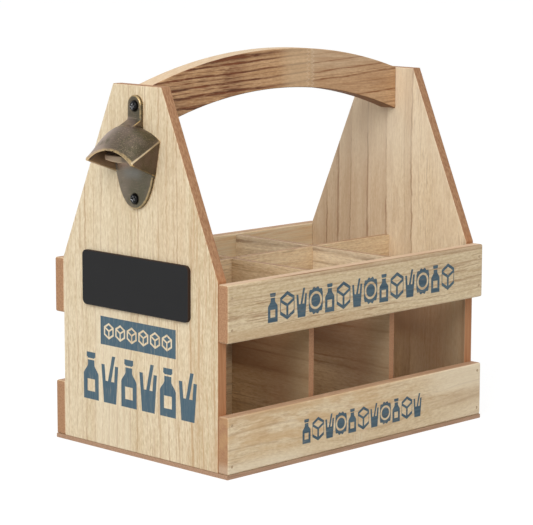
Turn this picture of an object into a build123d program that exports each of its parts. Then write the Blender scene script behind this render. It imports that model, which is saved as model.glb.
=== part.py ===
# Wooden bottle caddy with six compartments and a cast bottle opener on one end.
# X runs along the caddy, with the opener's end towards -X.
# Y runs across it, with the front slats towards -Y, and +Z is up.
# The origin is the centre of the base board's underside. All lengths are in millimetres.

from build123d import *
import os

os.makedirs("parts", exist_ok=True)


# Body
body_length = 270
panel_width = 160
base_thickness = 3

# End panels
panel_thickness = 8.5
panel_height = 260.5
panel_top_width = 49.5
panel_shoulder_height = 132.5
panel_ease = 0.8

# Slats, two along each long side
slat_thickness = 9.5
slat_height = 40
slat_open_gap = 51
slat_ease = 1.4

# Handle
handle_thickness = 15
handle_rise = 19.7
handle_end_depth = 31.8
handle_middle_depth = 28.7
handle_ease = 0.8

# Divider boards that make two rows of three compartments
divider_thickness = 5
divider_height = 130
divider_ease = 0.4
cross_divider_place = 42.8
lap_clearance = 0.15
divider_end_clearance = 0.1

# Writing slate on the opener's end
slate_width = 110
slate_height = 39.5
slate_thickness = 2.5
slate_corner_radius = 4
slate_ease = 0.5
slate_bottom = 104
slate_side_offset = 1.5

# Opener, cast in one piece
plate_thickness = 3
plate_edge_round = 1.1
tab_width = 13.7
tab_top = 257
lobe_bottom = 177.6
lobe_width = 37.4
lobe_top = 201.5
lobe_side_shares = ((0.87, 0.66), (0.66, 0.33), (0.37, 0.094))
hood_reach = 26.4
hood_back_width = 48
hood_lip_width = 48.2
hood_foot_width = 38.2
hood_back_corner = 226.6
hood_back_crown = 234
hood_waist_reach = 11
hood_waist_crown = 236.4
hood_lip_corner = 213.2
hood_lip_crown = 220
hood_lip_depth = 1.6
hood_lip_wall = 1.6
hood_wall = 2.4
mouth_width = 43
ramp_top = 239.8
ramp_foot = 236
ramp_reach = 7.4
tooth_width = 31
tooth_reach = 13.5
tooth_top = 226
tooth_side_bottom = 212.2
tooth_middle_bottom = 210.8
tooth_root_bottom = 212
tooth_front_height = 3.2

# Opener screws
screw_head_diameter = 7.4
screw_head_height = 2.2
screw_head_round = 1.6
screw_shank_diameter = 3.5
screw_length = 10
screw_tip_length = 3
screw_tip_diameter = 0.8
screw_cross_width = 0.9
screw_cross_span = 3.8
screw_cross_depth = 1.2
screw_clearance = 0.1
screw_seat_diameter = 8.8
screw_seat_depth = 0.6
screw_upper_height = 249.4
screw_lower_height = 184.9

# Dowels that hold the handle's ends
dowel_diameter = 6
dowel_panel_depth = 5
dowel_handle_depth = 17
dowel_clearance = 0.1
dowel_end_clearance = 0.5
dowel_lower_below_top = 19.8
dowel_upper_below_top = 5.6

# Brads that hold the slats and the base board
brad_diameter = 1.2
brad_head_diameter = 2
brad_head_height = 0.6
brad_tip_length = 1.2
brad_tip_diameter = 0.3
brad_clearance = 0.05
slat_brad_length = 18
upper_slat_brad_inset = 9
lower_slat_brad_inset = 5.6
base_brad_length = 14
base_brad_side_inset = 20
base_brads_per_panel = 4
base_brads_per_slat = 3
base_brad_slat_inset = 45

cut_overrun = 1


# Places worked out from the sizes above
half_length = body_length / 2
inner_half_length = half_length - panel_thickness
half_width = panel_width / 2
body_width = panel_width + 2 * slat_thickness
panel_bottom = base_thickness
panel_top = panel_bottom + panel_height
panel_shoulder = panel_bottom + panel_shoulder_height
lower_slat_bottom = base_thickness
upper_slat_bottom = lower_slat_bottom + slat_height + slat_open_gap
panel_middle = half_length - panel_thickness / 2
slat_middle = half_width + slat_thickness / 2
handle_crown = panel_top + handle_rise
dowel_lower_height = panel_top - dowel_lower_below_top
dowel_upper_height = panel_top - dowel_upper_below_top
ENDS = (-1, 1)
SIDES = (-1, 1)


def board(length, width, height, bottom):
    """A box centred on the Z axis that stands on the level given."""
    return Pos(0, 0, bottom + height / 2) * Box(length, width, height)


def pointed_rod(diameter, length, tip_length, tip_diameter):
    """A rod along +Z from the origin whose far end tapers to a blunt point."""
    straight = length - tip_length
    rod = Pos(0, 0, straight / 2) * Cylinder(diameter / 2, straight)
    tip = Pos(0, 0, straight + tip_length / 2) * Cone(diameter / 2, tip_diameter / 2, tip_length)
    return rod + tip


def brad(length):
    """A brad with its head's top at the origin and its point towards +Z."""
    head = Pos(0, 0, brad_head_height / 2) * Cylinder(brad_head_diameter / 2, brad_head_height)
    return head + pointed_rod(brad_diameter, length, brad_tip_length, brad_tip_diameter)


def brad_hole(length):
    """The room that one brad takes, with its clearance, open past the head's top."""
    head_radius = brad_head_diameter / 2 + brad_clearance
    head_depth = brad_head_height + cut_overrun
    head = Pos(0, 0, (brad_head_height - cut_overrun) / 2) * Cylinder(head_radius, head_depth)
    depth = length + brad_clearance
    shank = Pos(0, 0, depth / 2) * Cylinder(brad_diameter / 2 + brad_clearance, depth)
    return head + shank


def placed(shapes, places):
    """Copies of one shape at each place, as a list."""
    return [place * shapes for place in places]


def cut_all(body, tools):
    """A body with every tool in a list cut from it."""
    for tool in tools:
        body = body - tool
    return body


# Brad places
def slat_brad_places(side, slat_bottom, inset):
    """Two brads through each end of a slat, driven straight into the end panel's edge."""
    places = []
    for end in ENDS:
        for height in (slat_bottom + inset, slat_bottom + slat_height - inset):
            spot = Pos(end * panel_middle, side * (half_width + slat_thickness), height)
            places.append(spot * Rot(side * 90, 0, 0))
    return places


def base_brad_places():
    """Brads from below into the end panels and into the lower slats."""
    places = []
    panel_run = panel_width - 2 * base_brad_side_inset
    for end in ENDS:
        for number in range(base_brads_per_panel):
            y = -panel_run / 2 + number * panel_run / (base_brads_per_panel - 1)
            places.append(Pos(end * panel_middle, y, 0))
    slat_run = body_length - 2 * base_brad_slat_inset
    for side in SIDES:
        for number in range(base_brads_per_slat):
            x = -slat_run / 2 + number * slat_run / (base_brads_per_slat - 1)
            places.append(Pos(x, side * slat_middle, 0))
    return places


slats = {
    "slat_front_upper": (-1, upper_slat_bottom, upper_slat_brad_inset),
    "slat_front_lower": (-1, lower_slat_bottom, lower_slat_brad_inset),
    "slat_back_upper": (1, upper_slat_bottom, upper_slat_brad_inset),
    "slat_back_lower": (1, lower_slat_bottom, lower_slat_brad_inset),
}
slat_brad_holes = []
for side, slat_bottom, inset in slats.values():
    slat_brad_holes += placed(brad_hole(slat_brad_length), slat_brad_places(side, slat_bottom, inset))
base_brad_holes = placed(brad_hole(base_brad_length), base_brad_places())


# Opener screws and their holes
def screw_place(height):
    """The seat of an opener screw's head, with the screw pointing into the panel."""
    return Pos(screw_seat_depth - half_length - plate_thickness, 0, height) * Rot(0, 90, 0)


def opener_screw():
    """A pan head screw with a cross recess, its head below the origin and its point at +Z."""
    head = Pos(0, 0, -screw_head_height / 2) * Cylinder(screw_head_diameter / 2, screw_head_height)
    rim = head.edges().group_by(Axis.Z)[0]
    head = fillet(rim, screw_head_round)
    recess_middle = -screw_head_height + (screw_cross_depth - cut_overrun) / 2
    recess_depth = screw_cross_depth + cut_overrun
    for sizes in ((screw_cross_span, screw_cross_width), (screw_cross_width, screw_cross_span)):
        head = head - Pos(0, 0, recess_middle) * Box(*sizes, recess_depth)
    return head + pointed_rod(screw_shank_diameter, screw_length, screw_tip_length, screw_tip_diameter)


def screw_hole():
    """The hole for a screw's shank, with a shallow round seat for its head."""
    depth = screw_length + screw_clearance
    shank = Pos(0, 0, depth / 2) * Cylinder(screw_shank_diameter / 2 + screw_clearance, depth)
    seat = Pos(0, 0, -plate_thickness / 2) * Cylinder(screw_seat_diameter / 2, plate_thickness)
    return shank + seat


screw_places = [screw_place(height) for height in (screw_upper_height, screw_lower_height)]
screw_holes = placed(screw_hole(), screw_places)


# Handle dowels and their holes
dowel_length = dowel_panel_depth + dowel_handle_depth
dowel_start = inner_half_length - dowel_handle_depth
dowel_heights = (dowel_lower_height, dowel_upper_height)


def dowel_solids(end, radius, end_room):
    """The two dowels, or their two holes, at one end of the handle."""
    rod = Pos(0, 0, dowel_length / 2) * Cylinder(radius, dowel_length + 2 * end_room)
    return [Pos(end * dowel_start, 0, height) * Rot(0, end * 90, 0) * rod for height in dowel_heights]


def dowel_holes(end):
    """The dowel holes at one end, with room round the dowels and past their ends."""
    return dowel_solids(end, dowel_diameter / 2 + dowel_clearance, dowel_end_clearance)


# Base board
base_board = board(body_length, body_width, base_thickness, 0)
base_board = cut_all(base_board, base_brad_holes)


# End panels
def end_panel(end):
    """A tapered end board: upright sides to the shoulders, then straight tapers to a flat top."""
    outline = [
        (-half_width, panel_bottom),
        (half_width, panel_bottom),
        (half_width, panel_shoulder),
        (panel_top_width / 2, panel_top),
        (-panel_top_width / 2, panel_top),
        (-half_width, panel_shoulder),
    ]
    face = make_face(Polyline(*outline, close=True))
    blank = extrude(Plane.YZ * face, panel_thickness / 2, both=True)
    upright = blank.edges().filter_by(Axis.X, reverse=True)
    blank = fillet(upright, panel_ease)
    panel = Pos(end * panel_middle, 0, 0) * blank
    return cut_all(panel, slat_brad_holes + base_brad_holes + dowel_holes(end))


end_panel_opener_side = cut_all(end_panel(-1), screw_holes)
end_panel_plain = end_panel(1)


# Slats
def slat(side, slat_bottom):
    """One eased slat, nailed across the edges of both end panels."""
    blank = fillet(Box(body_length, slat_thickness, slat_height).edges(), slat_ease)
    strip = Pos(0, side * slat_middle, slat_bottom + slat_height / 2) * blank
    return cut_all(strip, slat_brad_holes + base_brad_holes)


# Handle
def arched_handle():
    """An arched board between the end panels, flush with their tops at its ends."""
    end_bottom = panel_top - handle_end_depth
    crown_bottom = handle_crown - handle_middle_depth
    reach = inner_half_length
    top = ThreePointArc((-reach, panel_top), (0, handle_crown), (reach, panel_top))
    bottom = ThreePointArc((reach, end_bottom), (0, crown_bottom), (-reach, end_bottom))
    sides = [Line(top @ 1, bottom @ 0), Line(bottom @ 1, top @ 0)]
    face = make_face([top, sides[0], bottom, sides[1]])
    blank = extrude(Plane.XZ * face, handle_thickness / 2, both=True)
    return fillet(blank.edges(), handle_ease)


handle = cut_all(arched_handle(), dowel_holes(-1) + dowel_holes(1))


# Dividers, lapped over each other half way up
lap_height = divider_height / 2
lap_width = divider_thickness + 2 * lap_clearance
inner_length = 2 * (inner_half_length - divider_end_clearance)
inner_width = 2 * (half_width - divider_end_clearance)
divider_top = base_thickness + divider_height


def eased_divider(length):
    """A thin divider board along X with its top edges eased."""
    plain = board(length, divider_thickness, divider_height, base_thickness)
    return fillet(plain.edges().filter_by(Axis.X).group_by(Axis.Z)[-1], divider_ease)


lap_cut = Box(lap_width, divider_thickness + 2 * cut_overrun, lap_height + lap_clearance + cut_overrun)
upper_lap = Pos(0, 0, divider_top - (lap_height + lap_clearance - cut_overrun) / 2) * lap_cut
lower_lap = Pos(0, 0, base_thickness + (lap_height - cut_overrun) / 2) * lap_cut
divider_long = eased_divider(inner_length)
for end in ENDS:
    divider_long = divider_long - Pos(end * cross_divider_place, 0, 0) * upper_lap
cross_blank = Rot(0, 0, 90) * (eased_divider(inner_width) - lower_lap)
divider_cross_near = Pos(-cross_divider_place, 0, 0) * cross_blank
divider_cross_far = Pos(cross_divider_place, 0, 0) * cross_blank


# Writing slate
slate_face = RectangleRounded(slate_width, slate_height, slate_corner_radius)
slate_blank = extrude(Plane.YZ * slate_face, slate_thickness / 2, both=True)
slate_blank = fillet(slate_blank.faces().sort_by(Axis.X)[0].edges(), slate_ease)
slate_place = Pos(-half_length - slate_thickness / 2, slate_side_offset, slate_bottom + slate_height / 2)
slate_panel = slate_place * slate_blank


# Opener
plate_front = -half_length - plate_thickness
waist_x = -half_length - hood_waist_reach
lip_front = -half_length - hood_reach
lip_foot = hood_lip_corner - hood_lip_depth
waist_share = hood_waist_reach / hood_reach


def at_waist(back, lip):
    """The value at the waist of something that runs straight from the panel to the lip."""
    return back + waist_share * (lip - back)


def hood_section(x, width, crown, corner, foot_width, foot):
    """A section of the hood across the caddy: an arched top over two walls that draw in."""
    top = ThreePointArc((width / 2, corner), (0, crown), (-width / 2, corner))
    left = Line((-width / 2, corner), (-foot_width / 2, foot))
    floor = Line((-foot_width / 2, foot), (foot_width / 2, foot))
    right = Line((foot_width / 2, foot), (width / 2, corner))
    return Plane.YZ.offset(x) * make_face([top, left, floor, right])


def hood_outside():
    """The hood as a filled shape: a domed roof that narrows to the lip, with a rising floor."""
    waist_width = at_waist(hood_back_width, hood_lip_width)
    waist_corner = at_waist(hood_back_corner, hood_lip_corner)
    waist_foot_width = at_waist(hood_foot_width, hood_lip_width)
    waist_foot = at_waist(lobe_top, lip_foot)
    back = hood_section(
        -half_length, hood_back_width, hood_back_crown, hood_back_corner, hood_foot_width, lobe_top
    )
    waist = hood_section(
        waist_x, waist_width, hood_waist_crown, waist_corner, waist_foot_width, waist_foot
    )
    lip = hood_section(
        lip_front, hood_lip_width, hood_lip_crown, hood_lip_corner, hood_lip_width, lip_foot
    )
    return loft([back, waist, lip])


def hood_inside():
    """The room inside the hood, as long as the hood and open at the mouth and below."""
    back_width = hood_back_width - 2 * hood_wall
    back_foot_width = hood_foot_width - 2 * hood_wall
    back_crown = hood_back_crown - hood_wall
    back_corner = hood_back_corner - hood_wall
    lip_crown = hood_lip_crown - hood_lip_wall
    back_foot = lobe_top - cut_overrun
    mouth_foot = lip_foot - cut_overrun
    waist_width = at_waist(back_width, mouth_width)
    waist_foot_width = at_waist(back_foot_width, mouth_width)
    waist_corner = at_waist(back_corner, lip_foot)
    waist_crown = hood_waist_crown - 2 * hood_wall
    waist_foot = at_waist(back_foot, mouth_foot)
    back = hood_section(
        plate_front, back_width, back_crown, back_corner, back_foot_width, back_foot
    )
    waist = hood_section(
        waist_x, waist_width, waist_crown, waist_corner, waist_foot_width, waist_foot
    )
    mouth = hood_section(
        lip_front - cut_overrun, mouth_width, lip_crown, lip_foot, mouth_width, mouth_foot
    )
    return loft([back, waist, mouth])


def lobe_face():
    """The lower lobe of the plate: bulging sides that draw in to a round end.

    Its upper end runs on behind the hood, by as much as the plate is thick.
    """
    half = lobe_width / 2
    depth = lobe_top - lobe_bottom
    hidden_top = lobe_top + plate_thickness
    points = [(half * across, lobe_bottom + depth * up) for across, up in lobe_side_shares]
    mirrored = [(-across, height) for across, height in reversed(points)]
    side = Spline((half, lobe_top), *points, (0, lobe_bottom), *mirrored, (-half, lobe_top))
    rest = Polyline((-half, lobe_top), (-half, hidden_top), (half, hidden_top), (half, lobe_top))
    return make_face([side, rest])


def eased_front(solid, kept_height):
    """A plate with its front edges rounded, apart from those that reach the height given."""
    front = solid.faces().sort_by(Axis.X)[0].edges()
    rounded = [edge for edge in front if abs(edge.center().Z - kept_height) > plate_edge_round]
    return fillet(rounded, plate_edge_round)


def opener_plate():
    """The back plate: a narrow tab above, which runs down behind the hood, and the lobe below."""
    tab_radius = tab_width / 2
    tab_centre = tab_top - tab_radius
    tab_length = tab_centre - lobe_top
    tab = Pos(0, lobe_top + tab_length / 2) * Rectangle(tab_width, tab_length)
    tab = tab + Pos(0, tab_centre) * Circle(tab_radius)
    upper = extrude(Plane.YZ.offset(plate_front) * tab, plate_thickness)
    lobe = extrude(Plane.YZ.offset(plate_front) * lobe_face(), plate_thickness)
    return eased_front(lobe, lobe_top + plate_thickness) + eased_front(upper, lobe_top)


def tab_ramp():
    """The slope that carries the tab's face out on to the hood's roof."""
    root = plate_front + plate_thickness / 2
    shape = Polyline(
        (root, ramp_top + plate_thickness / 2),
        (plate_front, ramp_top),
        (plate_front - ramp_reach, ramp_foot),
        (plate_front - ramp_reach, hood_lip_crown),
        (root, hood_lip_crown),
        close=True,
    )
    slope = extrude(Plane.XZ * make_face(shape), tab_width / 2, both=True)
    return slope - hood_inside()


def cap_tooth():
    """The ridge inside the hood that a cap's rim catches on, lowest in its middle."""
    root = plate_front + plate_thickness / 2
    front = plate_front - tooth_reach
    profile = Polyline(
        (root, tooth_top),
        (front, tooth_side_bottom + tooth_front_height),
        (front, tooth_middle_bottom),
        (root, tooth_root_bottom),
        close=True,
    )
    ridge = extrude(Plane.XZ * make_face(profile), tooth_width / 2, both=True)
    half = tooth_width / 2
    left = (-half, tooth_side_bottom)
    right = (half, tooth_side_bottom)
    edge = ThreePointArc(left, (0, tooth_middle_bottom), right)
    rim = Polyline(right, (half, tooth_top), (-half, tooth_top), left)
    tongue = extrude(Plane.YZ.offset(front) * make_face([edge, rim]), root - front)
    return (ridge & tongue) & hood_outside()


bottle_opener = hood_outside() - hood_inside() + opener_plate() + tab_ramp() + cap_tooth()
bottle_opener = cut_all(bottle_opener, screw_holes)


# Writing the files
brads_of_slats = {}
for name, (side, slat_bottom, inset) in slats.items():
    places = slat_brad_places(side, slat_bottom, inset)
    brads_of_slats["brads_" + name.removeprefix("slat_")] = Compound(
        placed(brad(slat_brad_length), places)
    )

nodes = {
    "base_board": base_board,
    "end_panel_opener_side": end_panel_opener_side,
    "end_panel_plain": end_panel_plain,
    "handle": handle,
    "divider_long": divider_long,
    "divider_cross_near": divider_cross_near,
    "divider_cross_far": divider_cross_far,
    "slate_panel": slate_panel,
    "bottle_opener": bottle_opener,
    "opener_screw_upper": screw_places[0] * opener_screw(),
    "opener_screw_lower": screw_places[1] * opener_screw(),
    "handle_dowels_near": Compound(dowel_solids(-1, dowel_diameter / 2, 0)),
    "handle_dowels_far": Compound(dowel_solids(1, dowel_diameter / 2, 0)),
    "brads_base": Compound(placed(brad(base_brad_length), base_brad_places())),
}
for name, (side, slat_bottom, inset) in slats.items():
    nodes[name] = slat(side, slat_bottom)
nodes.update(brads_of_slats)

for name, shape in nodes.items():
    export_step(shape, "parts/" + name + ".step")
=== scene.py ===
import math

import bmesh
import bpy
import numpy as np
from mathutils import Matrix, Vector


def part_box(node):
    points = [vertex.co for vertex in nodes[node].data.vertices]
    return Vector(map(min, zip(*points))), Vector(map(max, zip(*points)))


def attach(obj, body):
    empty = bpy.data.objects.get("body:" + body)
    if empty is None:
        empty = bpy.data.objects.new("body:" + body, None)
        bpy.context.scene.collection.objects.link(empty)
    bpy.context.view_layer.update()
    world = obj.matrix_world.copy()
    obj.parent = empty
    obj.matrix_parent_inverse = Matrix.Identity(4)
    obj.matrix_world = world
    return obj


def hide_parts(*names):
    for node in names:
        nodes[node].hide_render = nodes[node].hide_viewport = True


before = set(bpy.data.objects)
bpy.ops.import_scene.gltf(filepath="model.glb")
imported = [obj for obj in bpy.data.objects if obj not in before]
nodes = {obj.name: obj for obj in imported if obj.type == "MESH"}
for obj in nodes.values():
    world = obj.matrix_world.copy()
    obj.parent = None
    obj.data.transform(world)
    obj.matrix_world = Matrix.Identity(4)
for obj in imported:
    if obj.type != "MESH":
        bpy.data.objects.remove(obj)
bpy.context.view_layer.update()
MM = 0.001


# Base board: one thin sheet of pale wood under the whole footprint, with a brown sawn edge.
# It is nailed up from below into the end panels and the lower slats.
class Wire:
    """An output of a shader node, which adds Math nodes when it is reckoned with."""

    def __init__(self, paint, socket):
        self.paint = paint
        self.socket = socket

    def other(self, output):
        """Another output of the same node."""
        return Wire(self.paint, self.socket.node.outputs[output])

    def maths(self, operation, *values):
        return self.paint.maths(operation, self, *values)

    def rise(self, low, high):
        """0 below the low value, 1 above the high one, and smooth between them."""
        return self.paint.node(
            "ShaderNodeMapRange", {"interpolation_type": "SMOOTHSTEP"}, [self, low, high, 0.0, 1.0]
        )

    def __add__(self, other):
        return self.maths("ADD", other)

    def __radd__(self, other):
        return self.maths("ADD", other)

    def __sub__(self, other):
        return self.maths("SUBTRACT", other)

    def __rsub__(self, other):
        return self.paint.maths("SUBTRACT", other, self)

    def __mul__(self, other):
        return self.maths("MULTIPLY", other)

    def __rmul__(self, other):
        return self.maths("MULTIPLY", other)

    def __truediv__(self, other):
        return self.maths("DIVIDE", other)

    def __neg__(self):
        return self.maths("MULTIPLY", -1.0)

    def __abs__(self):
        return self.maths("ABSOLUTE")

    def __mod__(self, other):
        return self.maths("FLOORED_MODULO", other)

    def __and__(self, other):
        return self.maths("MINIMUM", other)

    def __or__(self, other):
        return self.maths("MAXIMUM", other)


class Paint:
    """One material, and the few calls that its nodes are written with."""

    def __init__(self, name):
        self.material = bpy.data.materials.new(name)
        self.material.use_nodes = True
        self.tree = self.material.node_tree
        self.tree.nodes.clear()

    def node(self, kind, settings=None, values=(), output=0):
        """A new node with its settings and inputs, handed back as one of its outputs."""
        made = self.tree.nodes.new(kind)
        for key, value in (settings or {}).items():
            setattr(made, key, value)
        pairs = values.items() if isinstance(values, dict) else enumerate(values)
        for key, value in pairs:
            if isinstance(value, Wire):
                self.tree.links.new(value.socket, made.inputs[key])
            else:
                made.inputs[key].default_value = value
        return Wire(self, made.outputs[output]) if made.outputs else None

    def maths(self, operation, *values):
        return self.node("ShaderNodeMath", {"operation": operation}, values)

    def parts(self, vector):
        """A vector's x, y and z."""
        x = self.node("ShaderNodeSeparateXYZ", values=[vector])
        return x, x.other(1), x.other(2)

    def place(self):
        """Where a point lies on the caddy, in millimetres."""
        spot = self.node("ShaderNodeTexCoord", output="Object")
        scaled = {0: spot, "Scale": 1 / MM}
        return self.parts(self.node("ShaderNodeVectorMath", {"operation": "SCALE"}, scaled))

    def facing(self):
        """The way that the surface faces."""
        return self.parts(self.node("ShaderNodeTexCoord", output="Normal"))

    def cloud(self, x, y, z, detail=2.0):
        """Noise from 0 to 1, whose lumps lie about one unit apart."""
        spot = self.node("ShaderNodeCombineXYZ", values=[x, y, z])
        values = {"Vector": spot, "Scale": 1.0, "Detail": detail, "Roughness": 0.55}
        return self.node("ShaderNodeTexNoise", values=values)

    def blend(self, share, first, second):
        """The first colour where the share is 0, and the second where it is 1."""
        values = {0: share, 6: first, 7: second}
        return self.node("ShaderNodeMix", {"data_type": "RGBA"}, values, output=2)

    def relief(self, height, depth):
        """A bump as deep as the number of millimetres given."""
        values = {"Strength": 1.0, "Distance": depth * MM, "Height": height}
        return self.node("ShaderNodeBump", values=values)

    def surface(self, values):
        """The material, ended with its shader."""
        shader = self.node("ShaderNodeBsdfPrincipled", values=values)
        self.node("ShaderNodeOutputMaterial", values={"Surface": shader})
        return self.material


def shade(red, green, blue):
    """A colour as it is read off a screen, from 0 to 255, for a node's socket."""
    levels = [level / 255 for level in (red, green, blue)]
    linear = [v / 12.92 if v <= 0.04045 else ((v + 0.055) / 1.055) ** 2.4 for v in levels]
    return (*linear, 1.0)


def dress(name, material):
    """Gives a piece of the frame its finish."""
    for slot in nodes[name].material_slots:
        slot.material = material


BARE_PALE = shade(232, 213, 180)
BARE_TAN = shade(206, 181, 142)
BARE_LINE = shade(148, 104, 68)
BASE_EDGE = shade(190, 154, 127)
BASE_EDGE_DARK = shade(170, 134, 107)
# The brown of the painted shade inside the caddy.
INSIDE_SHADE_BROWN = shade(146, 102, 68)
SEED_STEPS = (71.0, 53.0, 31.0)
DRIFT_LENGTH, DRIFT_WIDTH = 150, 55
WOBBLE_LENGTH, WOBBLE_WIDTH, WOBBLE_REACH = 9, 26, 2.6
STREAK_LENGTH = 340
# Each kind of mark in the wood is a length and a width in millimetres, and its finer layers.
FIBRES = (30, 1.2, 2)
SPECKS = (3.4, 1.1, 3)
BREAKS = (38, 3, 2)
CLUSTERS = (130, 16, 1)
DASHES = (26, 1.3, 1)
PORES = (7, 0.6, 1)


class Timber(Paint):
    """A light, open-grained board. The axes are along its grain, across it and through it.

    Each ring is a year line's place across the board and its half width, in millimetres.
    """

    def __init__(self, name, axes, seed, pale=BARE_PALE, tan=BARE_TAN, line=BARE_LINE,
                 streaks=0.8, streak_width=9.0, line_gap=12.0, lines=0.55, dashes=0.35,
                 specks=1.7, pores=0.34, sway=7.0, stave=None, rings=(), ring_sway=4.0):
        super().__init__(name)
        self.x, self.y, self.z = self.place()
        self.nx, self.ny, self.nz = self.facing()
        spots = {"x": self.x, "y": self.y, "z": self.z}
        self.along, self.across, self.depth = (
            spots[axis] + seed * step for axis, step in zip(axes, SEED_STEPS)
        )
        drift = self.lumps(DRIFT_LENGTH, DRIFT_WIDTH, 1) - 0.5
        self.ring = self.across + sway * drift
        wobble = self.lumps(WOBBLE_LENGTH, WOBBLE_WIDTH, 3) - 0.5
        self.true_ring = spots[axes[1]] + ring_sway * drift + wobble * WOBBLE_REACH
        self.streak = self.grain(STREAK_LENGTH, streak_width, 3)
        self.fibre = self.grain(*FIBRES)
        speck = self.grain(*SPECKS)
        self.broken = self.grain(*BREAKS).rise(0.34, 0.6)
        year_line = self.year_lines(line_gap, 0.25, 0.8) * self.broken
        thin_line = self.year_lines(line_gap * 0.37, 0.15, 0.7) * (1 - self.broken)
        cluster = self.grain(*CLUSTERS).rise(0.42, 0.66)
        dash = self.grain(*DASHES).rise(0.58, 0.68) * cluster
        pore = self.grain(*PORES).rise(0.58, 0.7) * (0.4 + 0.6 * cluster)
        tone = 0.5 + (self.streak - 0.5) * streaks * 2 + (self.fibre - 0.5) * 0.9
        tone = tone + (speck - 0.5) * specks
        if stave:
            tone = tone + (self.stave_tone(stave) - 0.5) * 0.4
        body = self.blend(tone, tan, pale)
        marks = (year_line * lines) | (thin_line * lines * 0.4) | (dash * dashes) | (pore * pores)
        if rings:
            marks = marks | (self.ring_lines(rings) * lines)
        self.colour = self.blend(marks, body, line)
        self.height = self.fibre * 0.5 + speck * 0.5 - year_line * 0.3

    def dice(self, number, output=0):
        """Chance numbers of their own for each whole number."""
        settings = {"noise_dimensions": "1D"}
        return self.node("ShaderNodeTexWhiteNoise", settings, {"W": number}, output)

    def year_lines(self, gap, core, edge):
        """Dark lines along the grain, one to each gap, as wide and strong as chance has it."""
        run = (self.ring + self.depth * 0.7) / gap
        place, strength, width = self.parts(self.dice(run.maths("FLOOR"), output=1))
        off = abs(run % 1.0 - (0.15 + 0.7 * place)) * gap
        return (1 - off.rise(core, edge * (0.7 + width))) * (0.3 + 0.7 * strength)

    def ring_lines(self, rings):
        """Thin, broken lines at the places of the year lines given, as a mask."""
        found = None
        for place, half_width in rings:
            one = 1 - abs(self.true_ring - place).rise(half_width * 0.35, half_width * 1.2)
            found = one if found is None else found | one
        return found * (0.15 + 0.85 * self.broken)

    def lumps(self, length, width, detail):
        """Noise in straight lumps of the length and width given."""
        return self.cloud(self.along / length, self.across / width, self.depth / width, detail)

    def grain(self, length, width, detail):
        """Noise drawn out along the grain, in lumps that sway as the year lines do."""
        return self.cloud(self.along / length, self.ring / width, self.depth / width, detail)

    def stave_tone(self, width):
        """A tone for each of the strips that a wide board is glued up from."""
        return self.dice((self.across / width).maths("FLOOR"))

    def cover(self, mask, colour, dark=None):
        """Lays a stain or an ink over part of the board, darker along its fibres."""
        over = colour if dark is None else self.blend(self.fibre.rise(0.3, 0.72), dark, colour)
        self.colour = self.blend(mask, self.colour, over)

    def finished(self):
        """The board's material, as dull as bare wood is."""
        return self.surface({
            "Base Color": self.colour,
            "Roughness": self.fibre * 0.14 + 0.59,
            "Specular IOR Level": 0.3,
            "Normal": self.relief(self.height, 0.1),
        })


base = Timber("base wood", "xyz", seed=1)
# Painted shade on the top face, inside the caddy.
top_face = base.nz.rise(0.5, 0.8)
base.cover(top_face * 0.55, INSIDE_SHADE_BROWN)
base.cover(1 - abs(base.nz).rise(0.5, 0.8), BASE_EDGE, BASE_EDGE_DARK)
dress("base_board", base.finished())


# End panels: two boards sawn to a taper, grain upright, faces left bare and sawn edges stained.
# The opener's end carries a slate, and below it a blue printed band and a row of drink marks.
INK = shade(68, 94, 110)
INK_WORN = shade(84, 106, 117)
PANEL_EDGE = shade(186, 142, 105)
PANEL_EDGE_DARK = shade(157, 112, 78)
PANEL_EDGE_ORANGE = shade(190, 126, 80)
# Colours of the painted shade inside the caddy, towards the front and half way up.
INSIDE_SHADE_OLIVE = shade(142, 115, 84)
DEEP_SHADE_BROWN = shade(104, 66, 42)
BAND_SHIFT, BAND_HALF_WIDTH = 0.7, 39.1
BAND_LOW, BAND_HIGH = 76.5, 97.0


def panel_box(across, up, half_width, low, high):
    """How far a point lies inside a box, and less than 0 outside it."""
    return (half_width - abs(across)) & (up - low) & (high - up)


def bottle_mark(across, up):
    """A bottle as tall as 1, with a bare label and a bare line under its cap."""
    half = 0.235 - 0.13 * up.rise(0.52, 0.74) + 0.03 * up.rise(0.885, 0.9)
    solid = (half - abs(across)) & up & (1 - up)
    label = panel_box(across, up, 0.115, 0.17, 0.43)
    neck_line = panel_box(across, up, 0.3, 0.835, 0.87)
    return solid & -label & -neck_line


def glass_mark(across, up):
    """A glass with a straw, filled half way."""
    half = 0.19 + 0.09 * up
    solid = (half - abs(across)) & up & (0.8 - up)
    empty = (half - 0.1 - abs(across)) & (up - 0.46)
    straw = panel_box(across - 0.24 * (up - 0.5), up, 0.05, 0.44, 1.0)
    return (solid & -empty) | straw


def polar(across, up):
    """The distance and the angle of a point from the middle of a mark."""
    rise = up - 0.5
    reach = (across * across + rise * rise).maths("SQRT")
    return reach, rise.maths("ARCTAN2", across)


def cube_mark(across, up):
    """An ice cube seen from one corner: a six-sided outline with three edges inside."""
    reach, angle = polar(across, up)
    sixth = math.pi / 3
    to_side = (angle + sixth / 2) % sixth - sixth / 2
    to_edge = abs((angle + sixth * 2.5) % (sixth * 2) - sixth)
    rim = 0.055 - abs(reach * to_side.maths("COSINE") - 0.37)
    inner = (0.05 - reach * to_edge.maths("SINE")) & (0.4 - reach) & (math.pi / 2 - to_edge)
    return rim | inner


def cap_mark(across, up):
    """A crown cap from above: a crimped disc with a bare ring."""
    reach, angle = polar(across, up)
    disc = 0.46 + 0.026 * (angle * 14).maths("COSINE") - reach
    ring = 0.042 - abs(reach - 0.27)
    return disc & -ring


def inked(board, inside):
    """The edge of the ink, a little rough where it follows the fibres."""
    return (inside + (board.fibre - 0.5) * 0.25).rise(-0.14, 0.14)


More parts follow.
